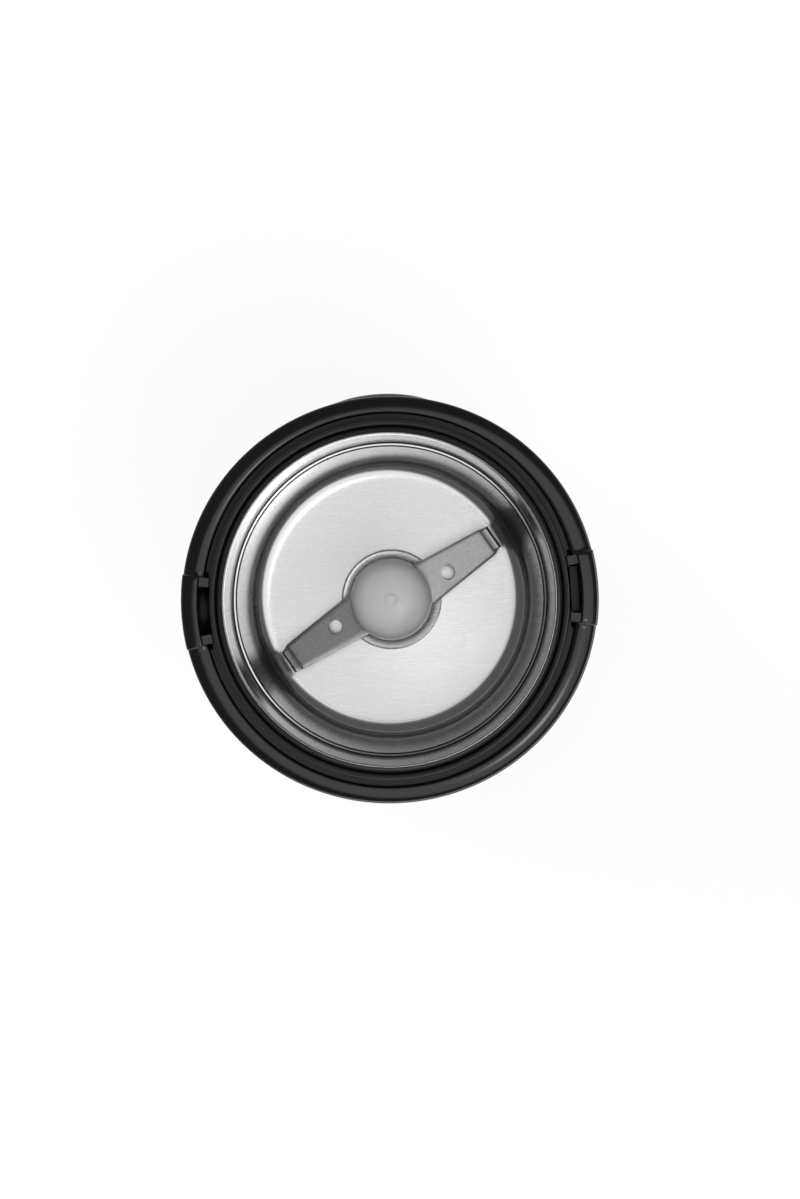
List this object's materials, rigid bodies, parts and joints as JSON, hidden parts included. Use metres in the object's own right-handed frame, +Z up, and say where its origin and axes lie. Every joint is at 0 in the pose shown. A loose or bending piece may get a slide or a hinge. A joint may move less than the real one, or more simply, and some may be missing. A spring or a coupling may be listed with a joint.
{
  "type": "electric spice grinder",
  "caption": "Small electric spice grinder with a round black body, a lift-out steel bowl, a blade with upturned ends, a front power button and side catch slots for a lid.",
  "frame": {"origin": "on the table plane under the feet, in the middle of the round body", "axes": "+Z up along the motor's shaft, the power button faces -Y, the catch slots are at -X and +X"},
  "size_m": [0.1028, 0.1044, 0.148],
  "materials": {
    "gloss_black": "polished black",
    "satin_black": "satin black",
    "hub_grey": "satin grey",
    "bowl_steel": "brushed",
    "blade_steel": "ground",
    "shaft_steel": "ground",
    "zinc_steel": "zinc plated",
    "lamination": "bare edges",
    "copper": "enamelled wire",
    "bronze": "sintered",
    "brass": "drawn",
    "carbon": "sooty",
    "soft_rubber": "matt",
    "switch_black": "matt",
    "capacitor_yellow": "moulded",
    "cast_metal": "cast"
  },
  "bodies": {
    "body": {"housing": "gloss_black", "chassis": "satin_black", "base_cover": "satin_black", "rubber_feet": "soft_rubber", "base_screws": "zinc_steel", "cord_grommet": "soft_rubber", "upper_bracket": "cast_metal", "lower_bracket": "cast_metal", "stator_core": "lamination", "field_coil_front": "copper", "field_coil_rear": "copper", "brush_holder_front": "brass", "brush_holder_rear": "brass", "carbon_brush_front": "carbon", "carbon_brush_rear": "carbon", "upper_bearing": "shaft_steel", "lower_bearing": "shaft_steel", "motor_dampers": "soft_rubber", "motor_screws": "zinc_steel", "motor_bolts": "zinc_steel", "motor_nuts": "zinc_steel", "power_switch": "switch_black", "interlock_switch": "switch_black", "suppression_capacitor": "capacitor_yellow"},
    "rotor": {"rotor_shaft": "shaft_steel", "armature_core": "lamination", "armature_winding": "copper", "commutator": "brass", "cooling_fan": "satin_black", "drive_coupling": "satin_black"},
    "bowl": {"bowl": "bowl_steel", "bowl_collar": "satin_black", "bowl_base": "satin_black", "bowl_bush": "bronze"},
    "blade": {"blade": "blade_steel", "blade_hub": "hub_grey", "blade_shaft": "shaft_steel", "driven_coupling": "satin_black", "thrust_washer": "zinc_steel"},
    "button": {"power_button": "gloss_black"},
    "plunger": {"interlock_plunger": "satin_black"}
  },
  "joints": [
    {"name": "rotor_spin", "type": "hinge", "parent": "body", "child": "rotor", "pos_m": [0, 0, 0.05], "axis": [0, 0, 1], "continuous": true},
    {"name": "bowl_lift", "type": "slide", "parent": "body", "child": "bowl", "axis": [0, 0, 1], "range_m": [0, 0.07]},
    {"name": "blade_spin", "type": "hinge", "parent": "bowl", "child": "blade", "pos_m": [0, 0, 0.1117], "axis": [0, 0, 1], "continuous": true},
    {"name": "button_press", "type": "slide", "parent": "body", "child": "button", "axis": [0, 1, 0], "range_m": [0, 0.003], "stiffness_N_per_m": 500, "springref_m": -0.002},
    {"name": "interlock_press", "type": "slide", "parent": "body", "child": "plunger", "axis": [0, 0, -1], "range_m": [0, 0.003], "stiffness_N_per_m": 300, "springref_m": -0.002}
  ],
  "couplings": [
    {"joint": "blade_spin", "follows": "rotor_spin", "ratio": 1}
  ]
}
